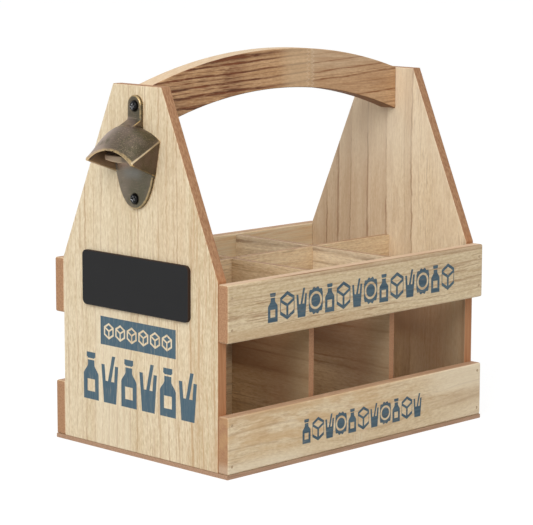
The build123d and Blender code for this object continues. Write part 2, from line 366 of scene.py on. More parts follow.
def mark_row(board, across, up, marks, start, bottom, pitch, height, count):
    """A row of marks, one to a cell and each in turn, as an ink mask."""
    run = across - start
    number = (run / pitch).maths("FLOOR")
    local = (run % pitch - pitch / 2) / height
    rise = (up - bottom) / height
    shape = None
    for turn, mark in enumerate(marks):
        wrong = abs(number % len(marks) - turn).rise(0.2, 0.6)
        one = mark(local, rise) - 10 * wrong
        shape = one if shape is None else shape | one
    inside = shape & (run / height) & ((count * pitch - run) / height)
    return inked(board, inside * height)


def print_ink(board, mask, face, ink=INK):
    """Ink on one face, thinner where the pores of the wood show through it."""
    thin = board.grain(9, 1.0, 1).rise(0.55, 0.8) * 0.3
    board.cover(mask * face * (1 - thin * 0.5), ink, INK_WORN)


def late_wood(board, rings, start, reach):
    """The darker wood that lies beyond each year line and fades out, as a mask."""
    shaded = None
    for place, half_width in rings:
        off = board.true_ring - place
        one = off.rise(start, half_width) * (1 - off.rise(half_width, reach))
        shaded = one if shaded is None else shaded | one
    return shaded


def paint_inside_shade(board, mask, most, deepest, fade_from, fade_to):
    """Painted shade on a board inside the caddy: a brown that fades out between two heights.

    The painted shade is deepest half way up, and lighter at its foot.
    """
    off_middle = abs(board.y)
    # The painted shade is lighter at the foot, in the middle of the caddy.
    lit_foot = (1 - off_middle.rise(10.0, 55.0)) * (1 - board.z.rise(32.0, 62.0))
    share = (most + off_middle.rise(40.0, 64.0) * 0.16) * (1 - lit_foot)
    # This brown is painted shade, more olive towards the front.
    brown = board.blend(off_middle.rise(45.0, 72.0), INSIDE_SHADE_BROWN, INSIDE_SHADE_OLIVE)
    board.cover(mask * share * (1 - board.z.rise(fade_from, fade_to)), brown)
    # Deeper painted shade half way up, in the middle of the caddy.
    half_way_up = board.z.rise(50.0, 66.0) * (1 - board.z.rise(82.0, 112.0))
    board.cover(mask * (1 - off_middle.rise(10.0, 70.0)) * half_way_up * deepest, DEEP_SHADE_BROWN)


def end_panel_board(name, seed, inner_side, **looks):
    """An end panel's wood, with painted shade low down on its inner face."""
    board = Timber(name, "zyx", seed, **looks)
    inner_face = (board.nx * inner_side).rise(0.5, 0.8)
    paint_inside_shade(board, inner_face, most=0.6, deepest=0.55, fade_from=76.0, fade_to=120.0)
    return board


def stain_edges(board):
    """The brown stain on a panel's sawn edges, more orange between the slats."""
    sawn = 1 - abs(board.nx).rise(0.45, 0.8)
    board.cover(sawn, PANEL_EDGE, PANEL_EDGE_DARK)
    board.cover(sawn * (1 - board.z.rise(130.0, 150.0)) * 0.5, PANEL_EDGE_ORANGE)


NEAR_RINGS = (
    (-55.0, 0.9), (-41.0, 0.8), (-38.0, 0.5), (-31.0, 0.8), (-22.2, 0.9), (-9.3, 0.8), (1.0, 0.9),
    (8.3, 1.0), (14.0, 0.3), (22.0, 0.8), (38.4, 0.7), (46.0, 0.4), (55.0, 0.8), (65.0, 0.5),
)
near_end = end_panel_board(
    "opener end wood", seed=2, inner_side=1, pale=shade(238, 221, 190), tan=shade(208, 186, 148),
    line=shade(164, 116, 72), streaks=0.3, lines=0.46, line_gap=31.0, specks=2.3, sway=11.0,
    stave=27.0, rings=NEAR_RINGS, ring_sway=9.0
)
seen_across = -near_end.y
outer_face = (-near_end.nx).rise(0.5, 0.8)
broad_streaks = near_end.grain(120, 6, 3).rise(0.5, 0.72)
near_end.cover(broad_streaks * 0.2, shade(206, 166, 116))
tan_fibres = near_end.grain(70, 1.1, 3).rise(0.48, 0.62) * seen_across.rise(36.0, 66.0)
near_end.cover(tan_fibres * 0.6, shade(196, 154, 112))
pale_fibres = near_end.grain(24, 0.7, 2).rise(0.54, 0.68)
near_end.cover(pale_fibres * 0.3, shade(246, 236, 206))
pale_strip = 1 - abs(near_end.y - 27.0).rise(14.0, 26.0)
pale_strip = pale_strip * (1 - near_end.z.rise(90.0, 190.0) * 0.6)
near_end.cover(pale_strip * 0.32, shade(250, 238, 212))
tan_strip = (1 - abs(near_end.y + 34.0).rise(10.0, 20.0)) * near_end.z.rise(110.0, 150.0)
near_end.cover(tan_strip * 0.16, shade(190, 154, 112))
band = panel_box(seen_across + BAND_SHIFT, near_end.z, BAND_HALF_WIDTH, BAND_LOW, BAND_HIGH)
cubes = mark_row(
    near_end, seen_across, near_end.z, (cube_mark,),
    start=-37.1, bottom=80.7, pitch=12.1, height=12.2, count=6
)
drinks = mark_row(
    near_end, seen_across, near_end.z, (bottle_mark, glass_mark),
    start=-60.6, bottom=34.5, pitch=20.2, height=34.5, count=6
)
print_ink(near_end, (inked(near_end, band) & (1 - cubes)) | drinks, outer_face)
stain_edges(near_end)
dress("end_panel_opener_side", near_end.finished())

FAR_RINGS = ((-24.5, 0.9), (1.0, 0.9), (20.3, 1.3), (39.3, 0.5), (52.6, 1.3), (64.0, 0.7))
far_end = end_panel_board(
    "plain end wood", seed=3, inner_side=-1, pale=shade(246, 227, 196), tan=shade(222, 197, 160),
    streaks=0.5, streak_width=14.0, lines=0.34, line_gap=31.0, ring_sway=6.0
)
browner_side = far_end.true_ring.rise(-34.0, 34.0)
far_end.cover(browner_side * 0.4, shade(190, 158, 128))
far_late_wood = late_wood(far_end, FAR_RINGS, start=-0.6, reach=12.0)
far_end.cover(far_late_wood * 0.28, shade(170, 134, 102))
clouding = far_end.grain(34, 7, 4).rise(0.42, 0.7)
far_end.cover(clouding * 0.22, shade(184, 148, 114))
line_share = 0.24 + 0.44 * far_end.z.rise(70.0, 130.0)
far_end.cover(far_end.ring_lines(FAR_RINGS) * line_share, shade(146, 100, 68))
pale_top = far_end.z.rise(165.0, 215.0)
far_end.cover(pale_top * 0.24, shade(252, 240, 216))
# Painted shade on the inner face along its front edge, low down.
shaded_low_front_edge = (-far_end.nx).rise(0.5, 0.8) * (-far_end.y).rise(74.0, 80.0)
shaded_low_front_edge = shaded_low_front_edge * (1 - far_end.z.rise(130.0, 140.0))
far_end.cover(shaded_low_front_edge * 0.5, shade(132, 100, 72))
stain_edges(far_end)
dress("end_panel_plain", far_end.finished())


# Slats: four eased boards nailed across the panels' edges, grain lengthways, ends stained.
# Both front ones carry a row of the same blue drink marks.
ALL_MARKS = (bottle_mark, cube_mark, glass_mark, cap_mark)
SLAT_INK = shade(62, 84, 98)
EDGE_STAIN = shade(187, 144, 108)
EDGE_STAIN_DARK = shade(166, 122, 88)
TOP_EDGE_PALE = shade(228, 201, 170)
TOP_EDGE_TAN = shade(210, 176, 143)
TOP_EDGE_DARK = shade(184, 142, 108)
HONEY = shade(210, 172, 122)
UPPER_ARRIS = 134.15
UPPER_LINE = 131.3


def slat_board(name, seed, **looks):
    """A slat's wood, with its ends stained."""
    board = Timber(name, "xzy", seed, **looks)
    board.cover(abs(board.nx).rise(0.5, 0.85), EDGE_STAIN, EDGE_STAIN_DARK)
    return board


upper = slat_board(
    "front upper slat wood", seed=4, pale=shade(238, 219, 184), tan=shade(204, 178, 138),
    streaks=0.5, line_gap=16.0, dashes=0.6, rings=((110.0, 1.1), (101.5, 0.4), (119.0, 0.4)),
    ring_sway=9.0
)
front_face = (-upper.ny).rise(0.5, 0.8)
near_top = upper.z + (upper.streak - 0.5) * 2.4
banded = (0.25 + 0.75 * upper.x.rise(-105.0, -20.0)) * front_face
upper.cover(near_top.rise(129.8, 131.2) * 0.36 * banded, shade(170, 124, 86), BARE_LINE)
thin_line = (1 - abs(near_top - UPPER_LINE).rise(0.2, 0.9)) * banded
upper.cover(thin_line * (0.12 + 0.25 * upper.broken), shade(140, 98, 66))
low_left = (1 - upper.z.rise(99.0, 103.5)) * (1 - upper.x.rise(-20.0, 30.0)) * front_face
upper.cover(low_left * 0.36, shade(184, 144, 98))
upper.cover(upper.nz.rise(0.86, 0.97), TOP_EDGE_PALE, TOP_EDGE_TAN)
arris = (1 - abs(upper.z - UPPER_ARRIS).rise(0.45, 1.0)) * (-upper.ny).rise(0.05, 0.25)
upper.cover(arris * (0.55 + 0.3 * upper.broken) * upper.x.rise(-120.0, -60.0), shade(136, 94, 62))
upper_marks = mark_row(
    upper, upper.x, upper.z, ALL_MARKS,
    start=-98.7, bottom=103.6, pitch=14.3, height=20.4, count=14
)
print_ink(upper, upper_marks, front_face, SLAT_INK)
dress("slat_front_upper", upper.finished())

lower = slat_board(
    "front lower slat wood", seed=5, pale=shade(244, 225, 192), tan=shade(216, 190, 150),
    streaks=0.6, streak_width=13.0, sway=26.0, lines=0.4, dashes=0.3
)
front_face = (-lower.ny).rise(0.5, 0.8)
honey_share = (0.55 - 0.42 * lower.x.rise(0.0, 90.0)) * lower.z.rise(6.0, 20.0)
lower.cover(lower.grain(30, 7, 3).rise(0.38, 0.62) * honey_share, HONEY)
wave = lower.grain(13, 2.6, 2).rise(0.5, 0.72) * lower.z.rise(14.0, 24.0)
lower.cover(wave * 0.3, shade(184, 142, 98))
lower.cover(lower.x.rise(60.0, 140.0) * 0.36, shade(242, 225, 197))
right_end = lower.x.rise(50.0, 100.0)
lower.cover(right_end * lower.z.rise(23.0, 29.0) * 0.4, shade(250, 235, 206))
lower.cover(right_end * (1 - abs(lower.z - 20.0).rise(2.0, 7.0)) * 0.24, shade(178, 142, 104))
left_end = 1 - lower.x.rise(-80.0, -40.0)
lower.cover(left_end * (1 - lower.z.rise(6.0, 13.0)) * 0.4, shade(250, 238, 212))
lower.cover(left_end * lower.z.rise(38.0, 43.0) * 0.28, shade(170, 128, 90))
lower.cover(abs(lower.nx).rise(0.5, 0.85) * 0.35, EDGE_STAIN_DARK)
finger_joint = panel_box(lower.x + 3.0, lower.z, 6.0, 4.5, 11.0).rise(0.0, 1.2)
fingers = finger_joint * (lower.x * 2.4).maths("SINE").rise(-0.2, 0.6)
lower.cover(fingers * 0.4, shade(236, 222, 196))
lower.cover(lower.nz.rise(0.8, 0.95), shade(202, 166, 134), shade(182, 144, 111))
lower.cover(lower.nz.rise(0.8, 0.95) * right_end * 0.5, shade(172, 132, 102))
lower_marks = mark_row(
    lower, lower.x, lower.z, ALL_MARKS,
    start=-63.2, bottom=12.5, pitch=11.9, height=17.5, count=11
)
print_ink(lower, lower_marks, front_face, SLAT_INK)
dress("slat_front_lower", lower.finished())

for name, seed in (("slat_back_upper", 6), ("slat_back_lower", 7)):
    back = slat_board(
        name.replace("_", " ") + " wood", seed, pale=shade(244, 223, 186), tan=shade(216, 186, 144)
    )
    inner_face = (-back.ny).rise(0.5, 0.8)
    # Painted light: the inner face is painted paler than the outer face.
    back.cover(inner_face * 0.6, shade(255, 247, 224), shade(243, 212, 170))
    back.cover(back.grain(60, 2.6, 2).rise(0.52, 0.62) * inner_face * 0.2, HONEY)
    back.cover(back.nz.rise(0.86, 0.97), TOP_EDGE_TAN, TOP_EDGE_DARK)
    # More painted light on the inner face, below its top.
    back.cover(inner_face * (1 - back.z.rise(126.0, 131.0)) * 0.24, shade(255, 240, 206))
    dress(name, back.finished())


# Dividers: three thin boards, lapped over each other half way up and glued in.
# Their ends are stained where they show through the openings between the slats.
DIVIDER_TOP = shade(186, 146, 110)
DIVIDER_TOP_DARK = shade(140, 100, 72)
DIVIDER_END = shade(180, 136, 101)
DIVIDER_END_DARK = shade(164, 119, 86)
RED_BROWN = shade(112, 70, 48)
CROSS_PLACE = 42.8
NEAR_CROSS_RINGS = ((57.0, 1.5), (76.0, 1.0))
FAR_CROSS_RINGS = ((77.6, 1.3), (52.0, 0.9), (45.5, 1.5), (129.2, 1.5))
for name, axes, seed, inside_shade, deepest, shade_top, rings, pale, tan in (
    ("divider_long", "xzy", 8, 0.0, 0.7, 122.0, ((113.0, 0.5),),
     shade(252, 231, 194), shade(223, 191, 150)),
    ("divider_cross_near", "yzx", 9, 0.62, 0.5, 148.0, NEAR_CROSS_RINGS,
     shade(238, 215, 178), shade(202, 172, 132)),
    ("divider_cross_far", "yzx", 10, 0.62, 0.62, 122.0, FAR_CROSS_RINGS,
     shade(247, 229, 197), shade(211, 185, 150)),
):
    thin_board = Timber(
        name.replace("_", " ") + " wood", axes, seed, pale=pale, tan=tan,
        line=RED_BROWN, lines=0.5, line_gap=26.0, rings=rings, ring_sway=9.0
    )
    thin_board.cover(late_wood(thin_board, rings, start=-2.5, reach=8.0) * 0.2, RED_BROWN)
    # Painted shade inside the caddy; on the long divider only near the crossings.
    inside = 1.0
    if name == "divider_long":
        off_crossing = abs(abs(thin_board.x) - CROSS_PLACE)
        inside = 1 - off_crossing.rise(4.0, 14.0)
    paint_inside_shade(thin_board, inside, inside_shade, deepest, 78.0, shade_top)
    thin_board.cover(thin_board.nz.rise(0.7, 0.95) * 0.8, DIVIDER_TOP, DIVIDER_TOP_DARK)
    ends = thin_board.nx if axes[0] == "x" else thin_board.ny
    thin_board.cover(abs(ends).rise(0.5, 0.8), DIVIDER_END, DIVIDER_END_DARK)
    dress(name, thin_board.finished())


# Handle: two lengths of striped wood joined end to end, sawn to an arch and eased all round.
# Its front keeps the dark stripes of the log, and its top is sanded pale.
JOINT_PLACE = 31.0
GRIP_HALF_FLAT = 6.9
STRIPE_SLOPE = 0.05
NEAR_STRIPES = (
    (281.0, 1.7, 0.75), (277.0, 0.9, 1.0), (274.0, 0.5, 0.4), (270.4, 0.9, 1.0), (267.0, 0.5, 0.45),
    (263.6, 0.9, 0.95), (260.6, 0.5, 0.4), (257.2, 1.2, 1.0), (250.0, 1.5, 0.8),
)
FAR_STRIPES = (
    (276.0, 0.8, 0.5), (269.2, 0.7, 0.8), (262.2, 0.8, 0.85), (258.4, 0.5, 0.6), (256.3, 0.9, 1.0),
    (250.6, 0.7, 0.4), (241.2, 1.0, 0.95), (236.0, 0.6, 0.5), (231.5, 0.9, 0.6),
)

grip = Timber(
    "handle wood", "xzy", seed=11, pale=shade(226, 185, 141), tan=shade(188, 143, 98),
    line=shade(130, 80, 46), lines=0.3, line_gap=9.0, dashes=0.4, streaks=0.6, pores=0.5
)
flat = (GRIP_HALF_FLAT - abs(grip.y)).rise(-0.25, 0.25)
level = grip.z - STRIPE_SLOPE * grip.x + (grip.grain(60, 10, 2) - 0.5) * 3.2
torn = grip.grain(10, 0.75, 3).rise(0.34, 0.6)


def stripes(places):
    """The dark stripes at the levels given, each with its half width and its strength."""
    found = None
    for centre, half_width, weight in places:
        one = (1 - abs(level - centre).rise(half_width * 0.2, half_width * 1.3)) * weight
        found = one if found is None else found | one
    return found


near_part = 1 - grip.x.rise(JOINT_PLACE - 1.2, JOINT_PLACE + 1.2)
fade = 1 - grip.x.rise(-74.0, 14.0) * 0.84
dark_top = level.rise(277.5, 280.0) * 0.3
blotch = grip.grain(22, 2.2, 3).rise(0.4, 0.66)
heart = (1 - abs(grip.x + 47.0 + (torn - 0.5) * 7).rise(3.0, 16.0)) * 0.34
brown = (blotch * 0.22 + torn * 0.34 + dark_top + heart) * fade
long_lines = stripes(NEAR_STRIPES) * (0.6 + 0.4 * torn) * (1 - grip.x.rise(-50.0, 30.0) * 0.5)
grip.cover((brown + long_lines) * near_part & 1.0, shade(124, 70, 40), shade(88, 49, 27))
far_part = 1 - near_part
tan_middle = level.rise(238.0, 242.0) * (1 - level.rise(254.0, 256.5)) * far_part
grip.cover(tan_middle * 0.22, shade(180, 126, 80))
pale_above = (0.18 + 0.36 * level.rise(256.0, 268.0)) * far_part
grip.cover(pale_above, shade(220, 196, 164))
tan_streaks = grip.grain(48, 3.2, 2).rise(0.46, 0.64) * far_part
grip.cover(tan_streaks * 0.3, shade(172, 124, 82))
far_lines = stripes(FAR_STRIPES) * (0.5 + 0.5 * torn)
grip.cover((far_lines | (torn * 0.22)) * far_part, shade(138, 90, 54))
pale_joint = panel_box(grip.x - 19.0, grip.z, 12.0, 225.0, 285.0).rise(-12.0, 6.0)
grip.cover(pale_joint * 0.4, shade(218, 192, 156))
zigzag = (grip.z * 1.9 + grip.fibre * 4).maths("SINE") * 1.2
teeth = 1 - abs(abs(grip.x - JOINT_PLACE + zigzag) - 2.6).rise(0.3, 1.1)
grip.cover(teeth * 0.26, shade(236, 214, 184))
grip.cover(flat * grip.nz.rise(0.1, 0.3), shade(231, 206, 173), shade(216, 186, 150))
grip.cover((-grip.nz).rise(0.3, 0.7) * 0.8, shade(128, 86, 58), shade(106, 68, 42))
dress("handle", grip.finished())


# Dowels: plain beech pegs, two in each end of the handle, out of sight.
# They are glued into holes bored in the handle's ends and in the end panels.
peg = Timber("dowel wood", "xzy", seed=12, pale=shade(226, 196, 158), tan=shade(206, 170, 128))
peg_finish = peg.finished()
for name in ("handle_dowels_near", "handle_dowels_far"):
    dress(name, peg_finish)


# Brads: thin steel nails that hold the slats and the base board, driven flush.
# Their heads are dull, with a little rust round them.
nail = Paint("brad steel")
nail_x, nail_y, nail_z = nail.place()
rust = nail.cloud(nail_x * 1.7, nail_y * 1.7, nail_z * 1.7, detail=3).rise(0.42, 0.66)
nail_finish = nail.surface({
    "Base Color": nail.blend(rust, shade(200, 176, 142), shade(166, 132, 100)),
    "Metallic": 0.2 - rust * 0.2,
    "Roughness": rust * 0.2 + 0.55,
})
for name in (
    "brads_front_upper", "brads_front_lower", "brads_back_upper", "brads_back_lower", "brads_base"
):
    dress(name, nail_finish)


# Slate: a hardboard panel with a matt charcoal writing face, glued on above the printed band.
# Its face keeps the haze of wiped chalk, and its edge is eased all round.
slate = Paint("slate")
slate_x, slate_y, slate_z = slate.place()
haze = slate.cloud(slate_x / 30, slate_y / 34, slate_z / 14, detail=4).rise(0.35, 0.75)
tooth = slate.cloud(slate_x / 0.35, slate_y / 0.35, slate_z / 0.35, detail=2)
slate_face = (-slate.facing()[0]).rise(0.9, 0.98)
slate_colour = slate.blend(haze * 0.5 + tooth * 0.12, shade(29, 29, 30), shade(40, 40, 41))
slate_colour = slate.blend(slate_face, shade(52, 38, 30), slate_colour)
dress("slate_panel", slate.surface({
    "Base Color": slate_colour,
    "Roughness": haze * 0.1 + 0.62,
    "Specular IOR Level": 0.2,
    "Normal": slate.relief(tooth, 0.03),
}))


# Opener: one bronze casting of tab, hood, tooth and lobe, with soft tumbled edges.
# Its brown patina has rubbed through to bright metal along the edges that hands and caps touch, and
# some highlights, light and shade are painted on.
SKIN_SIZE = 0.42
EASE_ROUNDS = 6
SPREAD_ROUNDS = 3
HAIR = 0.001 * MM
PLATE_FACE = 138.6
RIDGE_START = 141.0
TOOTH_FRONT, TOOTH_BACK = 153.0, 150.2
RIM_START = 160.2
LIP_X = -161.4
LIP_CORNER = 213.2
RIDGE_SLOPE = 13.4 / 26.4


def new_piece(name, mesh):
    """A piece of its own in the scene."""
    piece = bpy.data.objects.new(name, mesh)
    bpy.context.scene.collection.objects.link(piece)
    return piece


def settled(piece):
    """The piece's mesh with its modifiers worked in, as a plain mesh."""
    bpy.context.view_layer.update()
    graph = bpy.context.evaluated_depsgraph_get()
    mesh = bpy.data.meshes.new_from_object(piece.evaluated_get(graph))
    piece.modifiers.clear()
    piece.data = mesh
    return mesh


cast_mesh = nodes["bottle_opener"].data.copy()
shell = bmesh.new()
shell.from_mesh(cast_mesh)
bmesh.ops.remove_doubles(shell, verts=shell.verts, dist=HAIR)
shell.to_mesh(cast_mesh)
shell.free()
opener = new_piece("cast_opener", cast_mesh)
skin = opener.modifiers.new("cast skin", "REMESH")
skin.mode = "VOXEL"
skin.voxel_size = SKIN_SIZE * MM
ease = opener.modifiers.new("tumbled edges", "SMOOTH")
ease.factor = 0.5
ease.iterations = EASE_ROUNDS
opener_mesh = settled(opener)
opener_mesh.name = "cast_opener"
for face in opener_mesh.polygons:
    face.use_smooth = True

count = len(opener_mesh.vertices)
points = np.empty(count * 3)
opener_mesh.vertices.foreach_get("co", points)
cast_low, cast_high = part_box("bottle_opener")
points = np.clip(points.reshape(-1, 3), np.array(cast_low) + HAIR, np.array(cast_high) - HAIR)
opener_mesh.vertices.foreach_set("co", points.ravel())
normals = np.empty(count * 3)
opener_mesh.vertices.foreach_get("normal", normals)
normals = normals.reshape(-1, 3)
ties = np.empty(len(opener_mesh.edges) * 2, dtype=np.int64)
opener_mesh.edges.foreach_get("vertices", ties)
first, second = ties.reshape(-1, 2).T
degree = np.bincount(ties, minlength=count).astype(float)


def neighbours_mean(values):
    """The mean of each vertex's neighbours, for a number or a place at every vertex."""
    total = np.zeros_like(values)
    np.add.at(total, first, values[second])
    np.add.at(total, second, values[first])
    return total / (degree if values.ndim == 1 else degree[:, None])


# How far each point stands out from its neighbours: above 0 on edges, and below 0 in nooks.
bulge = ((points - neighbours_mean(points)) * normals).sum(axis=1) / (SKIN_SIZE * MM)
for _ in range(SPREAD_ROUNDS):
    bulge = 0.5 * bulge + 0.5 * neighbours_mean(bulge)
bulges = opener_mesh.attributes.new("bulge", "FLOAT", "POINT")
bulges.data.foreach_set("value", bulge.astype(np.float32))

bronze = Paint("antique bronze")
opener_x, opener_y, opener_z = bronze.place()
curve = bronze.node("ShaderNodeAttribute", {"attribute_name": "bulge"}, output="Fac")
patches = bronze.cloud(opener_x / 9, opener_y / 9, opener_z / 9, detail=4)
grit = bronze.cloud(opener_x / 0.9, opener_y / 0.9, opener_z / 0.9, detail=3)
scuff = bronze.cloud(opener_x / 3, opener_y / 3, opener_z / 3, detail=3)
ridge_level = LIP_CORNER + (opener_x - LIP_X) * RIDGE_SLOPE
off_ridge = opener_z - ridge_level
# A worn edge with a painted highlight: the bright line along the hood's side ridge.
ridge_wear_and_highlight = (1 - abs(off_ridge).rise(0.3, 0.9)) * abs(opener_y).rise(22.4, 23.2)
ridge_wear_and_highlight = ridge_wear_and_highlight * (0.45 + 0.55 * (-opener_x - RIDGE_START).rise(0.0, 7.0))
under_hood = (-off_ridge).rise(2.0, 3.0) * (opener_x - LIP_X).rise(1.8, 2.6)
sheltered = under_hood * (-opener_x - PLATE_FACE).rise(0.0, 0.6)
rubbed = (curve + (scuff - 0.5) * 0.05).rise(0.024, 0.085) * (1 - sheltered * 0.8)
rubbed = rubbed | (ridge_wear_and_highlight * (0.55 + 0.45 * scuff.rise(0.35, 0.6)))
rim = (-opener_x - RIM_START).rise(0.0, 0.8) * (0.2 + 0.45 * scuff.rise(0.35, 0.6))
rubbed = rubbed | rim
grime = 1 - curve.rise(-0.06, -0.012)
scratch = bronze.cloud(opener_x / 0.7, opener_y / 7, opener_z / 0.7 + opener_y / 3, detail=2)
scratch = scratch.rise(0.58, 0.68)
on_tab = opener_z.rise(240.0, 243.0)
on_lobe = 1 - opener_z.rise(203.0, 209.0)
patina = bronze.blend(patches.rise(0.35, 0.65), shade(94, 88, 70), shade(120, 104, 93))
# A rosy patina with a painted sheen, on the back half of the hood.
rosy_patina_and_sheen = opener_y.rise(-4.0, 15.0) * patches.rise(0.2, 0.5)
patina = bronze.blend(rosy_patina_and_sheen * 0.85, patina, shade(176, 157, 145))
olive = off_ridge.rise(0.6, 1.6) * (1 - opener_z.rise(222.0, 240.0)) * (1 - opener_y.rise(-6.0, 8.0))
patina = bronze.blend(olive * 0.55, patina, shade(76, 70, 53))
patina = bronze.blend((on_lobe | on_tab) * 0.7, patina, shade(92, 88, 72))
patina = bronze.blend(grit.rise(0.5, 0.72) * (0.4 - on_lobe * 0.28), patina, shade(158, 140, 114))
patina = bronze.blend(scratch * (0.34 - on_lobe * 0.2), patina, shade(176, 158, 132))
patina = bronze.blend((grime * 0.75) | (on_tab * 0.34), patina, shade(58, 52, 40))
# Painted reflection: a pale bluish patch at the top of the lobe.
painted_lobe_reflection = (1 - abs(opener_z - 204.0).rise(1.0, 8.0)) * (1 - abs(opener_y - 2.0).rise(4.0, 13.0))
patina = bronze.blend(painted_lobe_reflection * on_lobe * 0.4, patina, shade(132, 136, 134))
outward = opener_y * bronze.facing()[1] / 24
# Painted light on the inward walls inside the hood's mouth.
patina = bronze.blend(sheltered * (-outward).rise(0.2, 0.7) * 0.62, patina, shade(196, 160, 116))
# Painted shade on the hood's outward side walls.
patina = bronze.blend(outward.rise(0.5, 0.8) * 0.34, patina, shade(70, 54, 42))
# Painted light on the tooth's face, which lies in the mouth's shade.
tooth_face = panel_box(opener_y - 6.0, opener_z, 9.0, 208.0, 217.0).rise(-1.0, 3.0)
tooth_face = tooth_face * (-opener_x - TOOTH_BACK).rise(0.0, 1.0)
tooth_face = tooth_face * (1 - (-opener_x - TOOTH_FRONT).rise(0.0, 1.0))
patina = bronze.blend(tooth_face * 0.55, patina, shade(172, 152, 124))
patina = bronze.blend(rubbed * 0.85, patina, shade(216, 186, 134))
# The ridge's painted highlight is whitened into the base colour.
opener_finish = bronze.surface({
    "Base Color": bronze.blend(ridge_wear_and_highlight * 0.4, patina, shade(232, 220, 196)),
    "Metallic": 0.85,
    "Roughness": 0.46 - rubbed * 0.14 + (grit - 0.5) * 0.2,
    "Normal": bronze.relief(grit * 0.7 + scuff * 0.6, 0.12),
})
opener_mesh.materials.clear()
opener_mesh.materials.append(opener_finish)
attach(opener, "root")
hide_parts("bottle_opener")


# Opener screws: two black pan head screws with a cross recess, through the tab and the lobe.
# Each is turned and recessed once, then set in both holes.
SCREW_COUNT = 2
SCREWS_MIDDLE, SCREWS_HALF_DISTANCE = 217.15, 32.25
HEAD_RADIUS = 3.7
HEAD_HEIGHT = 2.2
DOME_POWER = 4.2
SHANK_RADIUS = 1.75
SHANK_LENGTH = 10.0
NECK_RADIUS = SHANK_RADIUS * 1.5
NECK_LENGTH = 0.6
TIP_LENGTH, TIP_SHARE = 3.0, 0.12
RECESS_REACH = 2.0
RECESS_HALF_WIDTH = 0.5
RECESS_DEPTH = 1.3
RECESS_SIDE_SLOPE, RECESS_END_SLOPE = 0.16, 0.5
THREAD_PITCH = 1.4
THREAD_ROOT, THREAD_CREST = 0.24, 0.22
THREAD_STEPS = 40
HEAD_RINGS = 34
SPOKES = 96


def head_level(radius):
    """The height of the domed head above its seat, at a distance from its middle."""
    return HEAD_HEIGHT * (1 - (radius / HEAD_RADIUS) ** DOME_POWER) ** 0.5


def recess_level(across, up):
    """How deep the tapered cross recess is at a point of the head."""
    depth = 0.0
    for far, near in ((abs(across), abs(up)), (abs(up), abs(across))):
        side_wall = (RECESS_HALF_WIDTH - near) / RECESS_SIDE_SLOPE
        end_wall = (RECESS_REACH - far) / RECESS_END_SLOPE
        depth = max(depth, min(side_wall, end_wall, 1.0))
    return RECESS_DEPTH * depth


turned = bmesh.new()
angles = [2 * math.pi * spoke / SPOKES for spoke in range(SPOKES)]
rings = []
for step in range(1, HEAD_RINGS + 1):
    radius = HEAD_RADIUS * step / HEAD_RINGS
    ring = []
    for angle in angles:
        across, up = radius * math.cos(angle), radius * math.sin(angle)
        level = head_level(radius) - recess_level(across, up)
        ring.append(turned.verts.new((-level, across, up)))
    rings.append(ring)
profile = [(0.0, NECK_RADIUS)]
for step in range(THREAD_STEPS + 1):
    depth = NECK_LENGTH + (SHANK_LENGTH - NECK_LENGTH) * (step / THREAD_STEPS)
    narrow = min(1.0, (SHANK_LENGTH - depth) / TIP_LENGTH + TIP_SHARE)
    crest = THREAD_CREST * abs(math.sin(math.pi * depth / THREAD_PITCH))
    profile.append((depth, (SHANK_RADIUS - THREAD_ROOT + crest) * narrow))
for depth, radius in profile:
    ring = []
    for angle in angles:
        across, up = radius * math.cos(angle), radius * math.sin(angle)
        ring.append(turned.verts.new((depth, across, up)))
    rings.append(ring)
for inner, outer in zip(rings, rings[1:]):
    for spoke in range(SPOKES):
        after = (spoke + 1) % SPOKES
        turned.faces.new((inner[spoke], inner[after], outer[after], outer[spoke]))
middle = turned.verts.new((-(head_level(0.0) - recess_level(0.0, 0.0)), 0.0, 0.0))
tip = turned.verts.new((SHANK_LENGTH, 0.0, 0.0))
for spoke in range(SPOKES):
    after = (spoke + 1) % SPOKES
    turned.faces.new((middle, rings[0][after], rings[0][spoke]))
    turned.faces.new((tip, rings[-1][spoke], rings[-1][after]))
bmesh.ops.recalc_face_normals(turned, faces=turned.faces)
bmesh.ops.scale(turned, vec=(MM, MM, MM), verts=turned.verts)
screw_mesh = bpy.data.meshes.new("opener_screws")
turned.to_mesh(screw_mesh)
turned.free()
for face in screw_mesh.polygons:
    face.use_smooth = True

black = Paint("black screw")
screw_x, screw_y, screw_z = black.place()
speck = black.cloud(screw_x / 0.6, screw_y / 0.6, screw_z / 0.6, detail=3)
from_middle = abs(screw_z - SCREWS_MIDDLE) - SCREWS_HALF_DISTANCE
from_axis = (screw_y * screw_y + from_middle * from_middle).maths("SQRT")
off_recess = abs((abs(screw_y) & abs(from_middle)) - RECESS_HALF_WIDTH)
recess_edge = (1 - off_recess.rise(0.05, 0.3)) * (1 - from_axis.rise(RECESS_REACH, 2.5))
# Painted highlight: bright glints along the edges of the cross recess.
recess_glints = recess_edge * speck.rise(0.4, 0.6)
black_finish = black.surface({
    "Base Color": black.blend(recess_glints * 0.9, shade(7, 7, 8), shade(214, 214, 216)),
    "Roughness": speck * 0.2 + 0.2,
    "Specular IOR Level": 0.08,
    "Coat Weight": 0.2,
    "Coat Roughness": 0.03,
})

upper_low, upper_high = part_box("opener_screw_upper")
lower_low, lower_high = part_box("opener_screw_lower")
upper_middle = (upper_low + upper_high) / 2
lower_middle = (lower_low + lower_high) / 2
seat_x = upper_high.x - SHANK_LENGTH * MM

screws = new_piece("opener_screws", screw_mesh)
setting = bpy.data.node_groups.new("set screws in their holes", "GeometryNodeTree")


def socket(name, kind, side="INPUT"):
    """One thing that the group is given, or hands on."""
    return setting.interface.new_socket(name, in_out=side, socket_type="NodeSocket" + kind)


